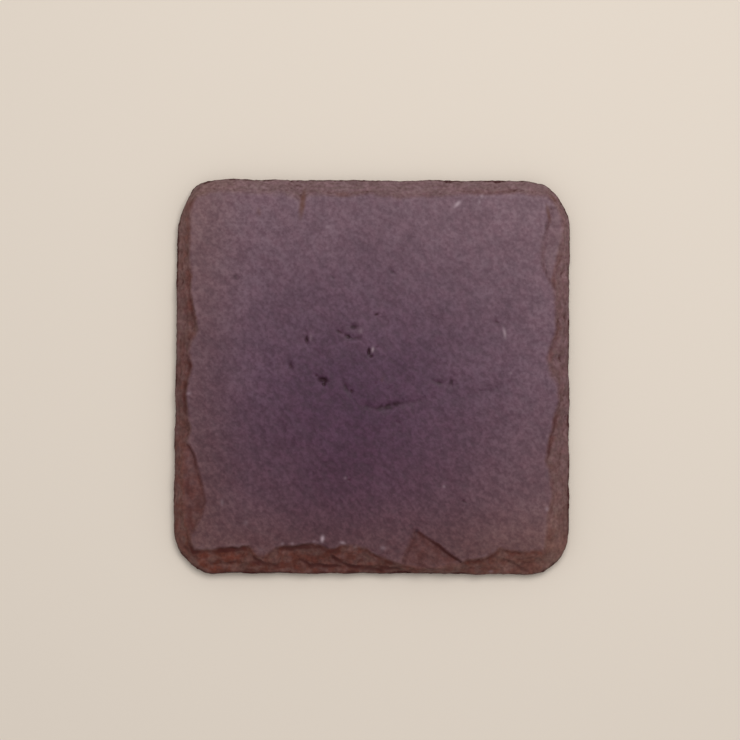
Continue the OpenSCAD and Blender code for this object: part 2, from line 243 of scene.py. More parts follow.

# Dark spots on the dressed edge, grime and painted shade along its creases and rim: place, radii, turn and
# how dark
GRIME_AND_SHADE = (
    (-28.8, -46.8, 1.5, 0.6, -15, 0.7), (-12.2, -49, 1.4, 0.5, 0, 0.8), (-5.2, -49, 1.6, 0.5, 0, 0.8),
    (-31, -48.9, 1.5, 0.5, 0, 0.6), (-6.5, -45.8, 1.4, 0.5, -15, 0.4), (-2.5, -46.1, 0.8, 0.5, 0, 0.4),
    (-38.5, -46, 1.5, 0.5, -10, 0.4), (-44.5, -45, 1.8, 0.7, -45, 0.4), (-43.1, -31.4, 1.7, 2.9, 0, 0.5),
    (-47.5, 24.2, 0.6, 0.7, 0, 0.4), (-45.4, -37.4, 1.1, 2.6, 10, 0.45), (-46.6, -43.2, 0.6, 2.4, 25, 0.6),
    (34.5, -45.6, 1.6, 0.5, -20, 0.3),
)
GRIME_AND_SHADE_SHARES = (1.5, 0.1)

# Depths of the layers that the stone breaks along, and how far they wander
LAYER_SHARES = (0, 0.14, 0.3, 0.44, 0.6, 0.78, 0.94, 1.12)
LAYER_WANDER = ((0.5, 8), (0.2, 2.4))
LAYER_STEP = (0.34, 0.66)

# Depths between which the stone turns from riven to broken: its layers and the rough floor of a flake
# come first, then the rougher bumps of the dressed edge, and last the broken look of a flake's floor
LAYERED_FROM = (0, 0.3)
BROKEN_FROM = (0.05, 0.9)
FLAKE_DRESSED_FROM = (0.05, 0.4)
FLAKE_DRESSED = 0.35

# Bumps of the riven face, the dressed edge, the flakes' floors, the underside and the outline: height
# and width
RIVEN_BUMPS = ((0.11, 26), (0.06, 9), (0.03, 3.6), (0.02, 1.7), (0.018, 1))
BROKEN_BUMPS = ((0.3, 3.4), (0.18, 1.6), (0.07, 0.8))
FLAKE_BUMPS = ((0.08, 4), (0.05, 1.6))
UNDER_BUMPS = ((0.04, 14), (0.035, 4))
EDGE_BUMPS = ((0.09, 1.5), (0.06, 0.7))

# Thin sheets of the cleavage end in low steps, along the contours of a wide field
CLEAVAGE_STEP = 0.035
CLEAVAGE_SIZE = 17
CLEAVAGE_CONTOURS = 3
CLEAVAGE_EDGE = (0.44, 0.56)

# The dressed edge is warped by these bumps, and the flakes and the marks by a share of them
WARP_BUMPS = ((0.32, 4.5), (0.18, 1.5), (0.07, 0.6))
FLAKE_WARP = 0.6
MARK_WARP = 0.4

# Blotches in which an effect is stronger and weaker: level, swing and width
RIM_BLOTCHES = (0.8, 0.4, 3)
SHADE_BLOTCHES = (0.95, 0.45, 2.4)
ARRIS_BLOTCHES = (0.6, 0.6, 1.2)
PIT_BLOTCHES = (1, 0.6, 0.9)
LAYER_BLOTCHES = (0, 0.5, 5)
# The blotches of grime and painted shade on the walls of the rim
WALL_GRIME_AND_SHADE_BLOTCHES = (0.3, 0.3, 2.6)

# Grid of the top: cells along a side, how far in from the edge they are halved, and how close to a mark.
# Its rings bend to the outline over the outer MAPPED_SHARE.
TOP_CELLS = 192
FINE_BAND = 8.6
FINE_REACH = 0.7
MAPPED_SHARE = 0.3

# A crevice is this much deeper than the stone one step away on its four sides
SURVEY_STEP = 0.5
CREVICE_DEPTH = 0.26

# Walls of the rim, as shares of the way down, and how far they are drawn in
WALL_SHARES = (0.2, 0.42, 0.66, 0.86, 1)
WALL_TUCK = 0.1
WALL_BUMPS = ((0.06, 5), (0.05, 1.4))

# The underside, which stays flat round the feet that are stuck on near its four corners
UNDER_CELLS = 60
UNDER_TUCK = 0.25
UNDER_LIP = 0.8
CORNERS = ("front_left", "front_right", "back_left", "back_right")
FOOT_CLEAR = 3.0

# Masks that the tile's mesh carries for its material
MASKS = ("dressed", "rust_and_bounce", "pit", "bruise", "stain", "crevice")


def turned(x, y, side):
    """A point in one side's view, as it lies on the tile."""
    for _ in range(side):
        x, y = -y, x
    return x, y


def seen_from(x, y, side):
    """A point on the tile, as it lies in one side's view."""
    return turned(x, y, (4 - side) % 4)


def bumps(x, y, size, seed):
    """Smooth random field from -1 to 1, with bumps about as wide as size."""
    rng = np.random.default_rng(seed)
    angle = rng.uniform(0, math.tau)
    # The lattice covers the tile's diagonal with a few cells to spare
    cells = int(3 * HALF_SIDE / size) + 6
    lattice = rng.uniform(-1, 1, (cells, cells))
    u = (x * math.cos(angle) + y * math.sin(angle)) / size + cells / 2
    v = (y * math.cos(angle) - x * math.sin(angle)) / size + cells / 2
    i, j = u.astype(int), v.astype(int)
    s, t = u - i, v - j
    s = s * s * s * (s * (s * 6 - 15) + 10)
    t = t * t * t * (t * (t * 6 - 15) + 10)
    low = lattice[i, j] * (1 - s) + lattice[i + 1, j] * s
    high = lattice[i, j + 1] * (1 - s) + lattice[i + 1, j + 1] * s
    return low * (1 - t) + high * t


def relief(x, y, sizes, seed):
    """Sum of bumps of several heights and widths, from minus to plus their heights."""
    return sum(height * bumps(x, y, size, seed + k) for k, (height, size) in enumerate(sizes))


def tallest(sizes):
    """The most that a relief stands above or below its middle."""
    return sum(height for height, _ in sizes)


def blotches(x, y, values, seed):
    """Strength of an effect that comes and goes in blotches."""
    level, swing, size = values
    return level + swing * bumps(x, y, size, seed)


FACE_SINK = tallest(RIVEN_BUMPS)


def ease(value, low, high):
    """Smooth step from 0 at low to 1 at high."""
    t = np.clip((value - low) / (high - low), 0, 1)
    return t * t * (3 - 2 * t)


def nearest(x, y, points):
    """Distance to the line through points, and the place on it that is nearest, counted in points."""
    away, spot = np.full_like(x, np.inf), np.zeros_like(x)
    for k, ((ax, ay), (bx, by)) in enumerate(zip(points, points[1:])):
        t = ((x - ax) * (bx - ax) + (y - ay) * (by - ay)) / ((bx - ax) ** 2 + (by - ay) ** 2)
        t = np.clip(t, 0, 1)
        gap = np.hypot(x - ax - t * (bx - ax), y - ay - t * (by - ay))
        spot = np.where(gap < away, k + t, spot)
        away = np.minimum(gap, away)
    return away, spot


def oval(x, y, px, py, along, across, angle):
    """Distance from the middle of an oval mark, where 1 is its rim."""
    c, s = math.cos(math.radians(angle)), math.sin(math.radians(angle))
    dx, dy = x - px, y - py
    return np.hypot((dx * c + dy * s) / along, (dy * c - dx * s) / across)


def outline_keys():
    """The outline as places round the tile, from 0 to 8 with 2 to a side, and their X and Y."""
    keys, xs, ys = [], [], []
    for side in range(4):
        for place, stand in EDGE_SHARES[side]:
            x, y = turned(place * HALF_SIDE, stand * EDGE_WANDER - HALF_SIDE, side)
            keys.append(2 * side + 1 + place)
            xs.append(x)
            ys.append(y)
        corner = [turned(HALF_SIDE - a * CORNER_SIZE, b * CORNER_SIZE - HALF_SIDE, side)
                  for a, b in CORNER_SHARES[side]]
        following = EDGE_SHARES[(side + 1) % 4][0]
        stop = turned(following[0] * HALF_SIDE, following[1] * EDGE_WANDER - HALF_SIDE, side + 1)
        path = [(xs[-1], ys[-1])] + corner + [stop]
        steps = [math.dist(a, b) for a, b in zip(path, path[1:])]
        start, span = EDGE_SHARES[side][-1][0], 2 - EDGE_SHARES[side][-1][0] + following[0]
        gone = 0
        for (x, y), step in zip(corner, steps):
            gone += step
            keys.append(2 * side + 1 + start + span * gone / sum(steps))
            xs.append(x)
            ys.append(y)
    order = np.argsort(np.mod(keys, 8))
    return np.mod(keys, 8)[order], np.array(xs)[order], np.array(ys)[order]


def rounded(keys, xs, ys, steps=1600, window=15):
    """The outline with its angles eased, in even steps round the tile."""
    places = np.arange(steps) * 8 / steps
    kernel = np.hanning(window + 2) / np.hanning(window + 2).sum()
    eased = []
    for values in (xs, ys):
        line = np.interp(places, keys, values, period=8)
        wrapped = np.concatenate((line[-window:], line, line[:window]))
        eased.append(np.convolve(wrapped, kernel, "same")[window:-window])
    return places, eased[0], eased[1]


OUTLINE = rounded(*outline_keys())


def on_tile(u, v):
    """Where a point of the unit square lies on the tile: rings near the edge follow the outline."""
    ring = np.maximum(np.maximum(abs(u), abs(v)), TINY)
    a, b = u / ring, v / ring
    front, right, back = b <= TINY - 1, a >= 1 - TINY, b >= 1 - TINY
    place = np.where(front, 1 + a, np.where(right, 3 + b, np.where(back, 5 - a, 7 - b)))
    x = np.interp(place, OUTLINE[0], OUTLINE[1], period=8)
    y = np.interp(place, OUTLINE[0], OUTLINE[2], period=8)
    nick = tallest(EDGE_BUMPS) + relief(x, y, EDGE_BUMPS, seed=90)
    x, y = x * (1 - nick / HALF_SIDE), y * (1 - nick / HALF_SIDE)
    pull = ease(ring, 1 - MAPPED_SHARE, 1)
    return u * HALF_SIDE + (x - a * HALF_SIDE) * pull, v * HALF_SIDE + (y - b * HALF_SIDE) * pull


def lip_line():
    """The lip as a closed line round the tile, and its crispness, brown and dark rim at each point."""
    points, crisp, brown, rim = [], [], [], []
    for side in range(4):
        for place, share, sharp in LIP_SHARES[side]:
            points.append(turned(place * HALF_SIDE, share * BAND_W - HALF_SIDE, side))
            crisp.append(sharp)
            brown.append(np.interp(place, (-1, 1), BROWN_SHARES[side]))
            rim.append(np.interp(place, (-1, 1), RIM_SHADES[side]))
    return points + points[:1], crisp + crisp[:1], brown + brown[:1], rim + rim[:1]


LIP_LINE, LIP_CRISP, LIP_BROWN, LIP_RIM = lip_line()
EDGE_LINE = list(zip(*outline_keys()[1:]))
EDGE_LINE.append(EDGE_LINE[0])


def within(x, y, loop):
    """Whether each point lies inside a closed line."""
    inside = np.zeros(x.shape, bool)
    for (ax, ay), (bx, by) in zip(loop, loop[1:]):
        if ay != by:
            inside ^= ((ay > y) != (by > y)) & (x < ax + (y - ay) * (bx - ax) / (by - ay))
    return inside


def crease(gap):
    """How dark the painted shade in the crease is at a distance under its lip."""
    away, width, strength = CREASE
    return strength * np.exp(-((gap - away) / width) ** 2)


def band_depth(x, y):
    """Depth of the dressed edge, and how far each point is part of it, brown with rust and painted bounce
    light, in painted shade and worn pale.
    """
    away, spot = nearest(x, y, LIP_LINE)
    crisp = np.interp(spot, range(len(LIP_CRISP)), LIP_CRISP)
    signed = np.where(within(x, y, LIP_LINE), -away, away)
    reach = (FADED_WALL + (CRISP_WALL - FADED_WALL) * crisp) / 2
    wall = ease(signed, -reach, reach)
    away = np.maximum(signed, 0)
    edge = nearest(x, y, EDGE_LINE)[0]
    rise = SLATE_T - RIM_H - LIP_DROP * crisp - FACE_SINK
    slope = rise * (away / np.maximum(away + edge, TINY)) ** BAND_CURVE
    depth = LIP_DROP * crisp * wall + slope + ROLL_DROP * wall * ease(-edge, -ROLL_W, 0)
    rust_and_bounce = np.interp(spot, range(len(LIP_BROWN)), LIP_BROWN)
    rust_and_bounce = wall * (rust_and_bounce + (1 - rust_and_bounce) * crisp ** 2 * ease(-away, -BROWN_REACH[1], -BROWN_REACH[0]))
    dark_rim = np.interp(spot, range(len(LIP_RIM)), LIP_RIM) * blotches(x, y, RIM_BLOTCHES, seed=65)
    dark_rim = wall * dark_rim * ease(-edge, -RIM_REACH[1], -RIM_REACH[0])
    shade = np.maximum(crisp ** 2 * crease(signed), dark_rim)
    arris = ARRIS[2] * crisp * np.exp(-((signed - ARRIS[0]) / ARRIS[1]) ** 2)
    for side, drop, dark, shares in LEDGES:
        along, inward = seen_from(x, y, side)
        line = [(place * HALF_SIDE, share * BAND_W - HALF_SIDE) for place, share in shares]
        gap = nearest(along, inward, line)[0]
        below = inward < np.interp(along, *zip(*line), left=-HALF_SIDE, right=-HALF_SIDE)
        start, stop = line[0][0], line[-1][0]
        ends = ease(along, start, start + LEDGE_ENDS) * ease(-along, -stop, LEDGE_ENDS - stop)
        depth += np.where(below, drop * ends * ease(gap, 0, CRISP_WALL) * np.exp(-gap / LEDGE_FADE), 0)
        shade = np.maximum(shade, np.where(below, dark * ends * crease(gap), 0))
    return depth, wall, rust_and_bounce, shade, arris


def flake_lines():
    """Outline of each flake scar in its side's view, run out over the edge at both ends."""
    lines = []
    for _, reach, _, shares in FLAKES:
        points = [(place * HALF_SIDE, share * reach) for place, share, _ in shares]
        start, stop = points[0][0] - FLAKE_SPLAY, points[-1][0] + FLAKE_SPLAY
        lines.append([(start, -FLAKE_OVERRUN)] + points + [(stop, -FLAKE_OVERRUN)])
    return lines


FLAKE_LINES = flake_lines()


def flake_depth(x, y):
    """Depth of the flake scars, and how far each point is on a floor browned by rust and painted bounce
    light, and in the painted shade of a scarp's crease.
    """
    depth, brown, shade = np.zeros_like(x), np.zeros_like(x), np.zeros_like(x)
    for (side, reach, tint, shares), line in zip(FLAKES, FLAKE_LINES):
        along, inward = seen_from(x, y, side)
        inward = inward + HALF_SIDE
        away, spot = nearest(along, inward, line)
        crisp = np.interp(spot, range(1, len(line) - 1), [share[2] for share in shares])
        inside = inward < np.interp(along, *zip(*line), left=-FLAKE_OVERRUN, right=-FLAKE_OVERRUN)
        floor = FLAKE_T + (reach - inward) * math.tan(FLAKE_SLOPE)
        fall = ease(away / (FADED_WALL + (CRISP_WALL - FADED_WALL) * crisp), 0, 1)
        depth = np.maximum(depth, np.where(inside, floor * fall, 0))
        brown = np.maximum(brown, np.where(inside, tint * fall, 0))
        shade = np.maximum(shade, np.where(inside, FLAKE_CREASE * crisp ** 2 * crease(away), 0))
    return depth, brown, shade


def layered(depth, x, y):
    """The depth drawn towards the stone's own layers, which gives the scars their small terraces."""
    layers = np.array(LAYER_SHARES) * SLATE_T
    wander = relief(x, y, LAYER_WANDER, seed=31)
    probe = np.clip(depth + wander, 0, layers[-1] - TINY)
    k = np.searchsorted(layers, probe, side="right") - 1
    t = (probe - layers[k]) / (layers[k + 1] - layers[k])
    stepped = layers[k] + (layers[k + 1] - layers[k]) * ease(t, *LAYER_STEP) - wander
    share = np.clip(blotches(x, y, LAYER_BLOTCHES, seed=33), 0, 1)
    return depth + (stepped - depth) * share * ease(depth, *LAYERED_FROM)


CRACK_LINE = [(px, py) for px, py, _ in CRACK]


def marks(x, y):
    """Depth of the pits and the crack less the bruises' height, how dark with painted shade they are, and
    how white and brown.
    """
    hollow, white, brown = np.zeros_like(x), np.zeros_like(x), np.zeros_like(x)
    for *place, deep in PITS:
        hollow = np.maximum(hollow, deep * np.exp(-PIT_STEEPNESS * oval(x, y, *place) ** 2))
    away, spot = nearest(x, y, CRACK_LINE)
    open_share = np.interp(spot, range(len(CRACK)), [share for _, _, share in CRACK])
    hollow = np.maximum(hollow, CRACK_DEPTH * open_share * np.exp(-(away / CRACK_W) ** 2))
    for *place, strength in BRUISES:
        white = np.maximum(white, strength * np.exp(-BRUISE_STEEPNESS * oval(x, y, *place) ** 2))
    for *place, strength in STAINS:
        brown = np.maximum(brown, strength * ease(oval(x, y, *place), *STAIN_SHARES))
    dark = ease(hollow * blotches(x, y, PIT_BLOTCHES, seed=67), *PIT_DARK_FROM)
    return hollow - BRUISE_H * white, dark, white, brown


def top_depth(x, y):
    """Depth of each point, and how far it is dressed, browned by rust and painted bounce light, pitted,
    bruised, stained and in painted shade.
    """
    wx, wy = x + relief(x, y, WARP_BUMPS, seed=11), y + relief(x, y, WARP_BUMPS, seed=15)
    riven = FACE_SINK + relief(x, y, RIVEN_BUMPS, seed=1)
    contour = CLEAVAGE_CONTOURS * bumps(wx, wy, CLEAVAGE_SIZE, seed=8)
    riven += CLEAVAGE_STEP * ease(contour - np.floor(contour), *CLEAVAGE_EDGE)
    mark, dark, white, brown = marks(x + MARK_WARP * (wx - x), y + MARK_WARP * (wy - y))
    flake, tint, scarp = flake_depth(x + FLAKE_WARP * (wx - x), y + FLAKE_WARP * (wy - y))
    flake += relief(x, y, FLAKE_BUMPS, seed=21) * ease(flake, *LAYERED_FROM)
    scar, wall, rust_and_bounce, shade, arris = band_depth(wx, wy)
    broken = riven + layered(scar, x, y) + relief(x, y, BROKEN_BUMPS, seed=41) * ease(scar, *BROKEN_FROM)
    depth = np.maximum(broken, flake) + mark * (1 - wall)
    rust_and_bounce = np.maximum(rust_and_bounce, tint)
    dressed = np.maximum(wall, FLAKE_DRESSED * ease(flake, *FLAKE_DRESSED_FROM))
    white = np.maximum(white, arris * blotches(x, y, ARRIS_BLOTCHES, seed=61))
    shade = np.maximum(shade, scarp * (1 - wall)) * blotches(x, y, SHADE_BLOTCHES, seed=63)
    for *place, strength in GRIME_AND_SHADE:
        shade = np.maximum(shade, strength * ease(oval(wx, wy, *place), *GRIME_AND_SHADE_SHARES))
    return np.clip(depth, 0, SLATE_T - LEAST_RIM), dressed, rust_and_bounce, dark, white, brown, shade


def near_mark(x, y):
    """Distance to the nearest flake outline, pit, bruise or crack."""
    away = nearest(x, y, CRACK_LINE)[0] - CRACK_W
    for (side, *_), line in zip(FLAKES, FLAKE_LINES):
        along, inward = seen_from(x, y, side)
        away = np.minimum(away, nearest(along, inward + HALF_SIDE, line)[0])
    for px, py, along, across, *_ in PITS + BRUISES:
        away = np.minimum(away, np.hypot(x - px, y - py) - max(along, across))
    return away


def halve(bm, fine):
    """Splits in two the edges whose middles the test fine(u, v, x, y) picks."""
    edges = list(bm.edges)
    middles = np.array([(e.verts[0].co + e.verts[1].co) / 2 for e in edges])
    picks = fine(middles[:, 0], middles[:, 1], *on_tile(middles[:, 0], middles[:, 1]))
    picked = [e for e, pick in zip(edges, picks) if pick]
    bmesh.ops.subdivide_edges(bm, edges=picked, cuts=1, use_grid_fill=True)


def tile_mesh():
    """Mesh of the tile: a fine grid for the top, rows of wall drawn down from it, and the underside."""
    bm = bmesh.new()
    layers = [bm.verts.layers.float.new(name) for name in MASKS]
    bmesh.ops.create_grid(bm, x_segments=TOP_CELLS, y_segments=TOP_CELLS, size=1)
    band = 1 - FINE_BAND / HALF_SIDE
    halve(bm, lambda u, v, x, y: (np.maximum(abs(u), abs(v)) > band) | (near_mark(x, y) < FINE_REACH))
    unit = np.array([v.co for v in bm.verts])
    x, y = on_tile(unit[:, 0], unit[:, 1])
    depth, *masks, shade = top_depth(x, y)
    around = sum(top_depth(x + dx, y + dy)[0] for dx, dy in
                 ((SURVEY_STEP, 0), (-SURVEY_STEP, 0), (0, SURVEY_STEP), (0, -SURVEY_STEP))) / 4
    # The crevice mask is painted shade where the stone lies deeper than around it, along creases and the rim
    # and in dark spots; below zero it marks ridges
    masks.append(np.clip(np.maximum((depth - around) / CREVICE_DEPTH, shade), -1, 1))
    for k, vert in enumerate(bm.verts):
        vert.co = (x[k], y[k], SLATE_T - depth[k])
        for layer, mask in zip(layers, masks):
            vert[layer] = mask[k]

    rim = [e for e in bm.edges if e.is_boundary]
    above = 0
    for row, share in enumerate(WALL_SHARES):
        drawn = bmesh.ops.extrude_edge_only(bm, edges=rim)["geom"]
        verts = [g for g in drawn if isinstance(g, bmesh.types.BMVert)]
        fresh = set(verts)
        rim = [g for g in drawn if isinstance(g, bmesh.types.BMEdge) and set(g.verts) <= fresh]
        at = np.array([v.co for v in verts])
        tuck = WALL_TUCK + relief(at[:, 0], at[:, 1], WALL_BUMPS, seed=50 + 2 * row)
        # The walls are dressed stone, darkened in blotches by grime and painted shade in the crevice mask
        grime_and_shade = blotches(at[:, 0], at[:, 1], WALL_GRIME_AND_SHADE_BLOTCHES, seed=140 + row)
        for vert, inward, dark in zip(verts, tuck, grime_and_shade):
            inward = UNDER_TUCK if share == 1 else inward
            vert.co.x *= 1 - inward / HALF_SIDE
            vert.co.y *= 1 - inward / HALF_SIDE
            vert.co.z *= 1 - (share - above) / (1 - above)
            vert[layers[0]], vert[layers[-1]] = 1, dark
        above = share

    under = bmesh.ops.create_grid(bm, x_segments=UNDER_CELLS, y_segments=UNDER_CELLS, size=1)["verts"]
    unit = np.array([v.co for v in under])
    x, y = on_tile(unit[:, 0], unit[:, 1])
    lift = tallest(UNDER_BUMPS) + relief(x, y, UNDER_BUMPS, seed=71)
    for corner in CORNERS:
        low, high = (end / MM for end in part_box("adhesive_" + corner))
        away = np.hypot(x - (low.x + high.x) / 2, y - (low.y + high.y) / 2)
        radius = (high.x - low.x) / 2
        lift *= ease(away, radius, radius + FOOT_CLEAR)
    shrink = 1 - (UNDER_TUCK + UNDER_LIP) / HALF_SIDE
    for vert, px, py, up in zip(under, x, y, lift):
        vert.co = (px * shrink, py * shrink, up)
    below = set(under)
    edge = [e for e in bm.edges if e.is_boundary and e.verts[0] in below]
    bmesh.ops.bridge_loops(bm, edges=rim + edge)
    bmesh.ops.scale(bm, vec=(MM, MM, MM), verts=bm.verts)
    bmesh.ops.translate(bm, vec=(0, 0, slate_low.z), verts=bm.verts)
    return bm


def new_piece(name, bm, material, node):
    """A finished piece from its mesh: its material, the body it rides on and the node it stands for."""
    bmesh.ops.recalc_face_normals(bm, faces=bm.faces)
    for face in bm.faces:
        face.smooth = True
    mesh = bpy.data.meshes.new(name)
    bm.to_mesh(mesh)
    bm.free()
    piece = bpy.data.objects.new(name, mesh)
    bpy.context.scene.collection.objects.link(piece)
    mesh.materials.append(material)
    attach(piece, "root")
    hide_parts(node)
    return piece


def new_material(name):
    """A material with an empty node tree, and that tree."""
    material = bpy.data.materials.new(name)
    material.use_nodes = True
    material.node_tree.nodes.clear()
    return material, material.node_tree


def part(tree, kind, settings=None, **sockets):
    """A shader node: settings are its own properties, and sockets its inputs, each a value or a link."""
    made = tree.nodes.new(kind)
    for key, value in (settings or {}).items():
        setattr(made, key, value)
    for key, value in sockets.items():
        socket = made.inputs[int(key[1:])] if key[0] == "_" else made.inputs[key.replace("_", " ")]
        if isinstance(value, bpy.types.NodeSocket):
            tree.links.new(value, socket)
        else:
            socket.default_value = value
    return made


def rgb(red, green, blue):
    """A colour as the eye reads it, from 0 to 255, as the shader's own linear colour."""
    return tuple(c / 12.92 if c <= 0.04045 else ((c + 0.055) / 1.055) ** 2.4
                 for c in (red / 255, green / 255, blue / 255)) + (1.0,)


def mixed(tree, share, first, second, blend="MIX"):
    """Colour node that lays the second colour over the first by share."""
    settings = {"data_type": "RGBA", "blend_type": blend}
    return part(tree, "ShaderNodeMix", settings, _0=share, _6=first, _7=second).outputs[2]


def ranged(tree, value, low, high, to_low=0.0, to_high=1.0):
    """Node that maps a value's range onto another, and stops at its ends."""
    return part(tree, "ShaderNodeMapRange", {"interpolation_type": "SMOOTHSTEP"}, Value=value,
                From_Min=low, From_Max=high, To_Min=to_low, To_Max=to_high).outputs[0]


def maths(tree, operation, first, second):
    """Node that works one value out of two."""
    return part(tree, "ShaderNodeMath", {"operation": operation}, _0=first, _1=second).outputs[0]


def added(tree, first, second):
    """Node that adds two values."""
    return maths(tree, "ADD", first, second)


def times(tree, first, second):
    """Node that multiplies two values."""
    return maths(tree, "MULTIPLY", first, second)


def metres(*lengths):
    """Lengths in millimetres as the metres that a shader's places are in."""
    return [length * MM for length in lengths]


# How rough the noise of a mottle is, and between which heights its tones change and its gloss does
MOTTLE_DETAIL = 2.0
TONE_HEIGHTS = (0.34, 0.66)
GLOSS_HEIGHTS = (0.35, 0.65)


def mottle_group():
    """Node group for two tones of one stone, foam or film that run into each other in blotches."""
    group = bpy.data.node_groups.new("two_tone_mottle", "ShaderNodeTree")
    for name, kind in (("Place", "Vector"), ("Size", "Float"), ("Dark", "Color"), ("Light", "Color")):
        group.interface.new_socket(name, in_out="INPUT", socket_type="NodeSocket" + kind)
    for name, kind in (("Color", "Color"), ("Height", "Float")):
        group.interface.new_socket(name, in_out="OUTPUT", socket_type="NodeSocket" + kind)
    given = part(group, "NodeGroupInput").outputs
    noise = part(group, "ShaderNodeTexNoise", None, Vector=given["Place"],
                 Scale=maths(group, "DIVIDE", 1.0, given["Size"]), Detail=MOTTLE_DETAIL).outputs[0]
    colour = mixed(group, ranged(group, noise, *TONE_HEIGHTS), given["Dark"], given["Light"])
    part(group, "NodeGroupOutput", None, Color=colour, Height=noise)
    return group


MOTTLE = mottle_group()


def mottle(tree, place, size, dark, light):
    """The mottle group with blotches as wide as size, in millimetres: its colour and its height."""
    made = part(tree, "ShaderNodeGroup", {"node_tree": MOTTLE}, Place=place, Size=size * MM, Dark=dark,
                Light=light)
    return made.outputs["Color"], made.outputs["Height"]


# Mottles of the slate: how wide their blotches are, and their dark and light tones
MIDDLE = (12, rgb(80, 49, 71), rgb(86, 55, 77))
BORDER = (6, rgb(132, 105, 109), rgb(138, 111, 115))
PATCHES = (1.25, rgb(186, 158, 174), rgb(255, 255, 255))
GRAIN = (0.8, rgb(198, 174, 187), rgb(255, 255, 255))
HUES = (3.5, rgb(255, 246, 248), rgb(246, 250, 250))
LAYERS = (0.6, rgb(160, 144, 144), rgb(255, 255, 255))
FLECKS = (2.6, (0.45, 0.45, 0.45, 1.0), (1.05, 1.05, 1.05, 1.0))

# The dark middle: where it lies, how far it wanders and between which distances it fades. At the bottom
# these distances grow by UNDER_SHIFT, over UNDER_FADE of height, which keeps the darkest off the underside.
MIDDLE_AT = (-4, -17, 7)
MIDDLE_WANDER = 12
MIDDLE_FADE = (8, 100)
UNDER_FADE = 1.2
UNDER_SHIFT = 36

# The stone is warmer to the left and the front, and runs from warm at the front to cool at the back
WARM_FROM = (28, 46)
WARM_TONE = rgb(250, 243, 228)
FRONT_TO_BACK = (-45, 5)
FRONT_TONE = rgb(255, 247, 232)
BACK_TONE = rgb(247, 247, 255)

# The stone's own lines, which draw out its patches, and how the patches show less further out
LINE_TURN = math.radians(-50)
LINE_STRETCH = 1.4
PATCH_FADE = (16, 96)
PATCH_SHARES = (0.6, 0.4)

# How much of the other mottles shows, and how flat the layers lie in the broken stone
HUE_SHARE = 0.45
GRAIN_SHARE = 0.5
LAYER_SHARE = 0.5
LAYER_STRETCH = 0.25

# Tints over the stone: how strong each is where its mask is full, and its tone
DUST_TINT = (0.15, rgb(178, 152, 134))
STAIN_TINT = (0.75, rgb(92, 54, 38))
# Pits and the crack are darkened with painted shade by this tint
PIT_TINT = (0.9, rgb(38, 8, 22))
BRUISE_TINT = (0.9, rgb(166, 144, 152))
# Rust and painted warm bounce light multiply the broken stone by this tone
RUST_AND_BOUNCE_TONE = rgb(226, 160, 138)

# Crevices, creases, the rim and the spots of grime and shade darken the stone with painted shade, and
# ridges, where the mask is below zero, make it paler: the mask's range, the most that shows, and the tone
CREVICE_TINT = ((0.05, 0.85), 0.8, rgb(60, 16, 14))
RIDGE_TINT = ((-0.3, -1.0), 0.12, rgb(150, 122, 126))

# Fine relief of the grain, and how rough the riven and the broken stone are
GRAIN_H = 0.12
GRAIN_HEIGHT_SHARE = 0.5
RIVEN_ROUGH = (0.46, 0.56)
DRESSED_ROUGH = 0.15


def tinted(tree, colour, mask, strength, tone):
    """The colour with a tint laid over it where its mask is."""
    return mixed(tree, times(tree, mask, strength), colour, tone)


def creased(tree, colour, crevice, span, strength, tone):
    """The colour with a tint that fades in over a range of the crevice mask."""
    return mixed(tree, ranged(tree, crevice, *span, 0.0, strength), colour, tone)


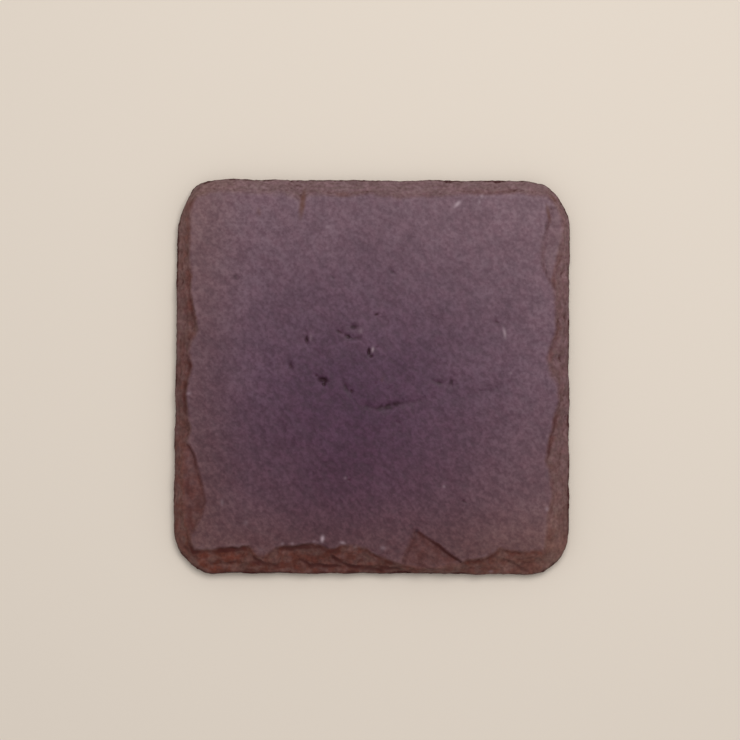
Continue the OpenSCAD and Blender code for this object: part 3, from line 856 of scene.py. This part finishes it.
def slate_material():
    """Purple-grey riven slate, browner with rust and painted bounce light and duller where it broke, with
    painted shade in crevices and pits, and pale on arrises.
    """
    material, tree = new_material("riven_slate")
    place = part(tree, "ShaderNodeTexCoord").outputs["Object"]
    split = part(tree, "ShaderNodeSeparateXYZ", None, Vector=place).outputs
    dressed, rust_and_bounce, pit, bruise, stain, crevice = (
        part(tree, "ShaderNodeAttribute", {"attribute_name": name}).outputs["Fac"] for name in MASKS)

    # Darker and bluer in the middle, a little to the front, and paler out to the border, most of all at the
    # back: partly the stone's own tone, partly painted shade in the middle and painted light towards the
    # window at the back
    middle, cloud = mottle(tree, place, *MIDDLE)
    border, _ = mottle(tree, place, *BORDER)
    out = part(tree, "ShaderNodeVectorMath", {"operation": "DISTANCE"}, _0=place,
               _1=metres(*MIDDLE_AT)).outputs["Value"]
    out = added(tree, out, times(tree, cloud, MIDDLE_WANDER * MM))
    above = slate_low.z + UNDER_FADE * MM
    out = added(tree, out, ranged(tree, split["Z"], slate_low.z, above, UNDER_SHIFT * MM, 0.0))
    riven = mixed(tree, ranged(tree, out, *metres(*MIDDLE_FADE)), middle, border)
    leftward, frontward = times(tree, split["X"], -1.0), times(tree, split["Y"], -1.0)
    outward = maths(tree, "MAXIMUM", leftward, frontward)
    riven = mixed(tree, ranged(tree, outward, *metres(*WARM_FROM)), riven, WARM_TONE, "MULTIPLY")
    warmth = mixed(tree, ranged(tree, split["Y"], *metres(*FRONT_TO_BACK)), FRONT_TONE, BACK_TONE)
    riven = mixed(tree, 1.0, riven, warmth, "MULTIPLY")

    # Fine grain, drawn out a little along the stone's own lines
    lines = part(tree, "ShaderNodeMapping", {"vector_type": "TEXTURE"}, Vector=place,
                 Rotation=(0, 0, LINE_TURN), Scale=(LINE_STRETCH, 1.0, 1.0)).outputs[0]
    patch, patch_height = mottle(tree, lines, *PATCHES)
    grain, grain_height = mottle(tree, place, *GRAIN)
    hue, _ = mottle(tree, lines, *HUES)
    share = ranged(tree, out, *metres(*PATCH_FADE), *PATCH_SHARES)
    riven = mixed(tree, share, riven, patch, "MULTIPLY")
    riven = mixed(tree, HUE_SHARE, riven, hue, "MULTIPLY")

    # Broken stone shows its layers as thin bands, and is paler with dust, under a film of rust and painted
    # warm bounce light in places
    thin = part(tree, "ShaderNodeMapping", None, Vector=place,
                Scale=(LAYER_STRETCH, LAYER_STRETCH, 1.0)).outputs[0]
    layer, layer_height = mottle(tree, thin, *LAYERS)
    fleck, _ = mottle(tree, place, *FLECKS)
    colour = mixed(tree, times(tree, dressed, LAYER_SHARE), riven, layer, "MULTIPLY")
    colour = tinted(tree, colour, dressed, *DUST_TINT)
    colour = mixed(tree, times(tree, rust_and_bounce, fleck), colour, RUST_AND_BOUNCE_TONE, "MULTIPLY")
    colour = mixed(tree, GRAIN_SHARE, colour, grain, "MULTIPLY")
    colour = tinted(tree, colour, stain, *STAIN_TINT)
    colour = creased(tree, colour, crevice, *CREVICE_TINT)
    colour = creased(tree, colour, crevice, *RIDGE_TINT)
    colour = tinted(tree, colour, pit, *PIT_TINT)
    colour = tinted(tree, colour, bruise, *BRUISE_TINT)

    height = added(tree, times(tree, grain_height, GRAIN_HEIGHT_SHARE), patch_height)
    height = added(tree, height, times(tree, layer_height, dressed))
    bump = part(tree, "ShaderNodeBump", None, Strength=0.5, Distance=GRAIN_H * MM, Height=height).outputs[0]
    rough = ranged(tree, patch_height, *GLOSS_HEIGHTS, *RIVEN_ROUGH)
    rough = added(tree, rough, times(tree, dressed, DRESSED_ROUGH))
    shader = part(tree, "ShaderNodeBsdfPrincipled", None, Base_Color=colour, Roughness=rough,
                  Specular_IOR_Level=0.2, Normal=bump)
    part(tree, "ShaderNodeOutputMaterial", None, Surface=shader.outputs[0])
    return material


new_piece("riven_slate_tile", tile_mesh(), slate_material(), "slate_tile")


# The adhesive discs: double-sided tissue tape, punched out with the feet. One disc bonds each foam foot
# to the slate. It is milky white, with a slightly ragged rim and the fibres of its tissue showing.

# Steps round the disc and rings out from its middle, and the rag of its rim: depth and width of its
# tears, and the share of the radius that they leave whole
TAPE_SPIN = 96
TAPE_RINGS = 10
TAPE_RAG = ((0.05, 1.6), (0.03, 0.7))
TAPE_WHOLE_SHARE = 0.85

# Points of a spun piece that are this close are one
MERGE_GAP = 0.001

# The film and the fibres in it: how wide their blotches are, and their dark and light tones
FILM = (2.5, rgb(208, 203, 190), rgb(222, 218, 206))
FIBRES = (0.3, rgb(226, 222, 210), rgb(255, 255, 252))
FIBRE_TURN = math.radians(25)
FIBRE_STRETCH = 0.12
FIBRE_SHARE = 0.6
FIBRE_H = 0.05
FILM_ROUGH = (0.3, 0.45)


def spun(profile, steps, x, y):
    """A round piece about the upright axis at x, y, from its profile of radii and heights in millimetres."""
    bm = bmesh.new()
    verts = [bm.verts.new((radius * MM, 0, height * MM)) for radius, height in profile]
    edges = [bm.edges.new(pair) for pair in zip(verts, verts[1:])]
    bmesh.ops.spin(bm, geom=verts + edges, cent=(0, 0, 0), axis=(0, 0, 1), angle=math.tau, steps=steps,
                   use_merge=True)
    bmesh.ops.remove_doubles(bm, verts=bm.verts, dist=MERGE_GAP * MM)
    bmesh.ops.translate(bm, vec=(x, y, 0), verts=bm.verts)
    return bm


def disc_mesh(low, high):
    """Mesh of one disc, with its rim drawn in a little where the punch tore the tissue."""
    radius, thick = (high.x - low.x) / 2 / MM, (high.z - low.z) / MM
    flat = [radius * k / TAPE_RINGS for k in range(TAPE_RINGS)]
    profile = [(r, 0) for r in flat] + [(radius, 0), (radius, thick / 2), (radius, thick)]
    profile += [(r, thick) for r in reversed(flat)]
    mid_x, mid_y = (low.x + high.x) / 2, (low.y + high.y) / 2
    bm = spun(profile, TAPE_SPIN, mid_x, mid_y)
    at = np.array([v.co for v in bm.verts]) / MM
    rag = tallest(TAPE_RAG) + relief(at[:, 0], at[:, 1], TAPE_RAG, seed=110)
    for vert, tear in zip(bm.verts, rag):
        dx, dy = vert.co.x - mid_x, vert.co.y - mid_y
        pull = 1 - tear / radius * ease(math.hypot(dx, dy) / MM, radius * TAPE_WHOLE_SHARE, radius)
        vert.co = (mid_x + dx * pull, mid_y + dy * pull, low.z + vert.co.z)
    return bm


def tissue_material():
    """Milky adhesive on tissue, with long pale fibres in it."""
    material, tree = new_material("tissue_adhesive")
    place = part(tree, "ShaderNodeTexCoord").outputs["Object"]
    film, film_height = mottle(tree, place, *FILM)
    strand = part(tree, "ShaderNodeMapping", None, Vector=place, Rotation=(0, 0, FIBRE_TURN),
                  Scale=(FIBRE_STRETCH, 1.0, 1.0)).outputs[0]
    fibre, fibre_height = mottle(tree, strand, *FIBRES)
    colour = mixed(tree, FIBRE_SHARE, film, fibre, "MULTIPLY")
    bump = part(tree, "ShaderNodeBump", None, Strength=0.3, Distance=FIBRE_H * MM,
                Height=fibre_height).outputs[0]
    rough = ranged(tree, film_height, *GLOSS_HEIGHTS, *FILM_ROUGH)
    shader = part(tree, "ShaderNodeBsdfPrincipled", None, Base_Color=colour, Roughness=rough, Normal=bump)
    part(tree, "ShaderNodeOutputMaterial", None, Surface=shader.outputs[0])
    return material


tissue = tissue_material()
for corner in CORNERS:
    new_piece("adhesive_disc_" + corner, disc_mesh(*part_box("adhesive_" + corner)), tissue,
              "adhesive_" + corner)


# The foam feet: four discs punched out of black closed-cell foam, which keep the slate from scratching
# what it stands on and from sliding. The punch rounds their edges, and the cut cells show as fine pores.

# Steps round the foot and rings out from its middle, its rounded edges, and how far its side bulges
FOOT_SPIN = 120
FOOT_STEP = 0.3
FOOT_ROUND = 0.3
ROUND_STEPS = 4
FOOT_BARREL = 0.12
BARREL_STEPS = 6

# Pores: height and width of the bumps that they are cut from, the share of the tallest below which there
# is none, and how fast they change up the side against how fast they do across the faces
PORES = ((0.05, 0.8), (0.03, 0.45))
PORE_FROM_SHARE = 0.25
PORE_CLIMB = 1.3

# The foam's skin, and the cell walls that show in it: their tone, size, edge and height
SKIN = (3, rgb(26, 26, 27), rgb(34, 34, 36))
CELL_TONE = rgb(46, 46, 48)
CELL_SIZE = 0.35
CELL_EDGE = (0.15, 0.5)
CELL_H = 0.1
FOAM_ROUGH = (0.78, 0.92)


def foot_mesh(low, high):
    """Mesh of one foot: a rounded, slightly barrelled disc with shallow pores in its skin."""
    radius, thick = (high.x - low.x) / 2 / MM, (high.z - low.z) / MM
    rings = int((radius - FOOT_ROUND) / FOOT_STEP)
    neck = radius - FOOT_ROUND - FOOT_BARREL
    flat = [neck * k / rings for k in range(rings)]
    bend = [math.radians(90 * k / ROUND_STEPS) for k in range(ROUND_STEPS + 1)]
    edge = [(neck + FOOT_ROUND * math.sin(a), FOOT_ROUND * (1 - math.cos(a))) for a in bend]
    side = [k / BARREL_STEPS for k in range(1, BARREL_STEPS)]
    profile = [(r, 0) for r in flat] + edge
    profile += [(radius - FOOT_BARREL * (2 * t - 1) ** 2, FOOT_ROUND + (thick - 2 * FOOT_ROUND) * t)
                for t in side]
    profile += [(r, thick - h) for r, h in reversed(edge)] + [(r, thick) for r in reversed(flat)]
    mid_x, mid_y = (low.x + high.x) / 2, (low.y + high.y) / 2
    bm = spun(profile, FOOT_SPIN, mid_x, mid_y)
    bmesh.ops.recalc_face_normals(bm, faces=bm.faces)
    bm.normal_update()
    at = np.array([v.co for v in bm.verts]) / MM
    # The side reads the same field as the faces, which moves on with height. The glued face has no pores.
    cells = relief(at[:, 0] + at[:, 2], at[:, 1] + PORE_CLIMB * at[:, 2], PORES, seed=130)
    glued = (thick - FOOT_ROUND / 2) * MM
    for vert, cell in zip(list(bm.verts), cells):
        dent = max(cell - PORE_FROM_SHARE * PORES[0][0], 0) if vert.co.z < glued else 0
        vert.co -= vert.normal * dent * MM
        vert.co.z += low.z
    return bm


def foam_material():
    """Matt black foam with paler, scuffed cell walls between its pores."""
    material, tree = new_material("closed_cell_foam")
    place = part(tree, "ShaderNodeTexCoord").outputs["Object"]
    skin, skin_height = mottle(tree, place, *SKIN)
    cell = part(tree, "ShaderNodeTexVoronoi", {"feature": "F1"}, Vector=place,
                Scale=1 / (CELL_SIZE * MM)).outputs["Distance"]
    colour = mixed(tree, ranged(tree, cell, *CELL_EDGE), skin, CELL_TONE)
    bump = part(tree, "ShaderNodeBump", None, Strength=0.6, Distance=CELL_H * MM, Height=cell).outputs[0]
    rough = ranged(tree, skin_height, *GLOSS_HEIGHTS, *FOAM_ROUGH)
    shader = part(tree, "ShaderNodeBsdfPrincipled", None, Base_Color=colour, Roughness=rough, Normal=bump)
    part(tree, "ShaderNodeOutputMaterial", None, Surface=shader.outputs[0])
    return material


foam = foam_material()
for corner in CORNERS:
    foot = new_piece("foam_foot_" + corner, foot_mesh(*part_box("foot_" + corner)), foam,
                     "foot_" + corner)


# Floor, light and camera, in metres: one soft light from behind and above, under an even sky, and a
# camera straight over the tile that frames it as the picture does

FLOOR_REACH = 3.0
FLOOR_TONE = rgb(226, 214, 200)
FLOOR_ROUGH = 0.9
SKY_STRENGTH = 0.5
WINDOW_W = 0.36
WINDOW_POWER = 2.2
WINDOW_AT = (0.09, 0.2, 0.6)

# The frame and the tile's middle in it, in pixels from the top left, and the metres that a pixel spans at
# the height FRAMED_H
FRAME_PX = 740
MIDDLE_PX = (371.65, 376.8)
PX = 1 / 3975
CAMERA_H = 0.7
FRAMED_H = 0.003
NEAREST = 0.01

floor_bm = bmesh.new()
bmesh.ops.create_grid(floor_bm, x_segments=1, y_segments=1, size=FLOOR_REACH)
floor_mesh = bpy.data.meshes.new("floor")
floor_bm.to_mesh(floor_mesh)
floor_bm.free()
floor = bpy.data.objects.new("floor", floor_mesh)
bpy.context.scene.collection.objects.link(floor)
floor_material = bpy.data.materials.new("pale_floor")
floor_material.use_nodes = True
floor_shader = floor_material.node_tree.nodes["Principled BSDF"]
floor_shader.inputs["Base Color"].default_value = FLOOR_TONE
floor_shader.inputs["Roughness"].default_value = FLOOR_ROUGH
floor_mesh.materials.append(floor_material)

world = bpy.data.worlds.new("studio")
bpy.context.scene.world = world
world.use_nodes = True
world.node_tree.nodes["Background"].inputs["Color"].default_value = (1, 1, 1, 1)
world.node_tree.nodes["Background"].inputs["Strength"].default_value = SKY_STRENGTH

key = bpy.data.objects.new("window", bpy.data.lights.new("window", "AREA"))
bpy.context.scene.collection.objects.link(key)
key.data.size = WINDOW_W
key.data.energy = WINDOW_POWER
key.location = WINDOW_AT
key.rotation_euler = (Vector((0, 0, 0)) - key.location).to_track_quat("-Z", "Y").to_euler()

camera = bpy.data.objects.new("camera", bpy.data.cameras.new("camera"))
bpy.context.scene.collection.objects.link(camera)
bpy.context.scene.camera = camera
camera.location = ((FRAME_PX / 2 - MIDDLE_PX[0]) * PX, (MIDDLE_PX[1] - FRAME_PX / 2) * PX, CAMERA_H)
camera.data.lens = camera.data.sensor_width / 2 / (FRAME_PX / 2 * PX / (CAMERA_H - FRAMED_H))
camera.data.clip_start = NEAREST
bpy.context.scene.view_settings.view_transform = "Standard"
